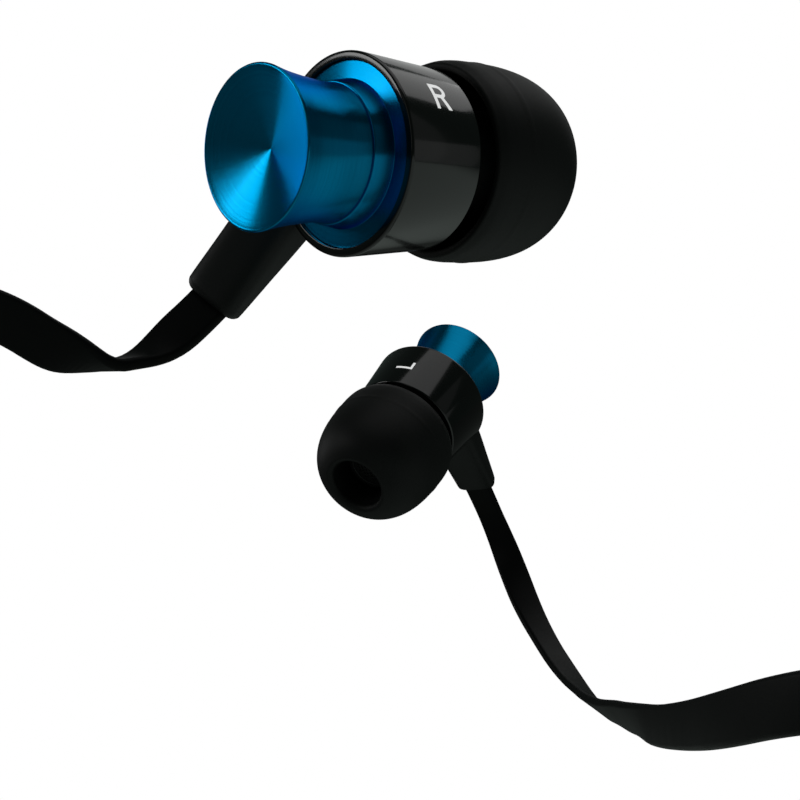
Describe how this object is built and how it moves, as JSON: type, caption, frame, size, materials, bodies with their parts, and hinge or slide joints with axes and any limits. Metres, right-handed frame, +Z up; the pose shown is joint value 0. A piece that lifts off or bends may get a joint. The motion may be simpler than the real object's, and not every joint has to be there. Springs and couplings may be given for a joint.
{
  "type": "neckband earphones",
  "caption": "In-ear earbuds with flared turned caps and silicone tips, joined by flat ribbon cords through an in-line control and battery module.",
  "frame": {"origin": "centre of the right silicone tip's mouth, where the ear canal holds the set", "axes": "+Z up, +Y from the right earbud towards the left one, the module lies below on a surface at z = -63 mm"},
  "size_m": [0.0713, 0.1397, 0.0691],
  "materials": {
    "anodised_blue": "spun, anodised",
    "gloss_black": "gloss",
    "neck_black": "satin",
    "steel": "satin",
    "damper_foam": "matte",
    "board_green": "satin",
    "basket_black": "satin",
    "magnet_nickel": "satin",
    "copper_wire": "satin",
    "diaphragm_film": "satin",
    "boot_rubber": "matte",
    "tip_silicone": "matte",
    "white_print": "matte",
    "module_black": "soft satin",
    "key_sheet": "matte",
    "battery_foil": "satin",
    "light_clear": "gloss",
    "key_black": "gloss",
    "ribbon_satin": "satin",
    "tie_fabric": "woven"
  },
  "bodies": {
    "set": {"battery_cell": "battery_foil", "button_sheet": "key_sheet", "charge_socket": "steel", "circuit_board": "board_green", "coil_tie": "tie_fabric", "left_back_disc": "anodised_blue", "left_cord": "ribbon_satin", "left_cord_coil": "ribbon_satin", "left_cord_tail": "ribbon_satin", "left_diaphragm": "diaphragm_film", "left_driver_basket": "basket_black", "left_driver_board": "board_green", "left_driver_magnet": "magnet_nickel", "left_flared_stem": "anodised_blue", "left_front_baffle": "neck_black", "left_housing": "gloss_black", "left_nozzle_damper": "damper_foam", "left_nozzle_grille": "steel", "left_pole_plate": "steel", "left_side_mark": "white_print", "left_strain_relief": "boot_rubber", "left_voice_coil": "copper_wire", "light_pipe": "light_clear", "microphone_grille": "steel", "module_base": "module_black", "module_cover": "module_black", "module_grommet_left": "boot_rubber", "module_grommet_right": "boot_rubber", "module_screw_1": "steel", "module_screw_2": "steel", "right_back_disc": "anodised_blue", "right_cord": "ribbon_satin", "right_diaphragm": "diaphragm_film", "right_driver_basket": "basket_black", "right_driver_board": "board_green", "right_driver_magnet": "magnet_nickel", "right_flared_stem": "anodised_blue", "right_front_baffle": "neck_black", "right_housing": "gloss_black", "right_nozzle_damper": "damper_foam", "right_nozzle_grille": "steel", "right_pole_plate": "steel", "right_side_mark": "white_print", "right_strain_relief": "boot_rubber", "right_voice_coil": "copper_wire"},
    "right_eartip": {"right_eartip": "tip_silicone"},
    "left_eartip": {"left_eartip": "tip_silicone"},
    "button_down": {"button_down": "key_black"},
    "button_centre": {"button_centre": "key_black"},
    "button_up": {"button_up": "key_black"},
    "socket_cover": {"socket_cover": "boot_rubber"}
  },
  "joints": [
    {"name": "right_eartip_pull", "type": "slide", "parent": "set", "child": "right_eartip", "axis": [0.7382, 0.6741, 0.0262], "range_m": [0, 0.0065]},
    {"name": "left_eartip_pull", "type": "slide", "parent": "set", "child": "left_eartip", "axis": [-0.4541, -0.7184, -0.527], "range_m": [0, 0.0065]},
    {"name": "button_down_press", "type": "slide", "parent": "set", "child": "button_down", "axis": [0, 0, -1], "range_m": [0, 0.0003], "stiffness_N_per_m": 1500, "springref_m": -0.0001},
    {"name": "button_centre_press", "type": "slide", "parent": "set", "child": "button_centre", "axis": [0, 0, -1], "range_m": [0, 0.0003], "stiffness_N_per_m": 1500, "springref_m": -0.0001},
    {"name": "button_up_press", "type": "slide", "parent": "set", "child": "button_up", "axis": [0, 0, -1], "range_m": [0, 0.0003], "stiffness_N_per_m": 1500, "springref_m": -0.0001},
    {"name": "socket_cover_swing", "type": "hinge", "parent": "set", "child": "socket_cover", "pos_m": [-0.016, 0.02615, -0.06175], "axis": [1, 0, 0], "range_deg": [0, 100]}
  ]
}
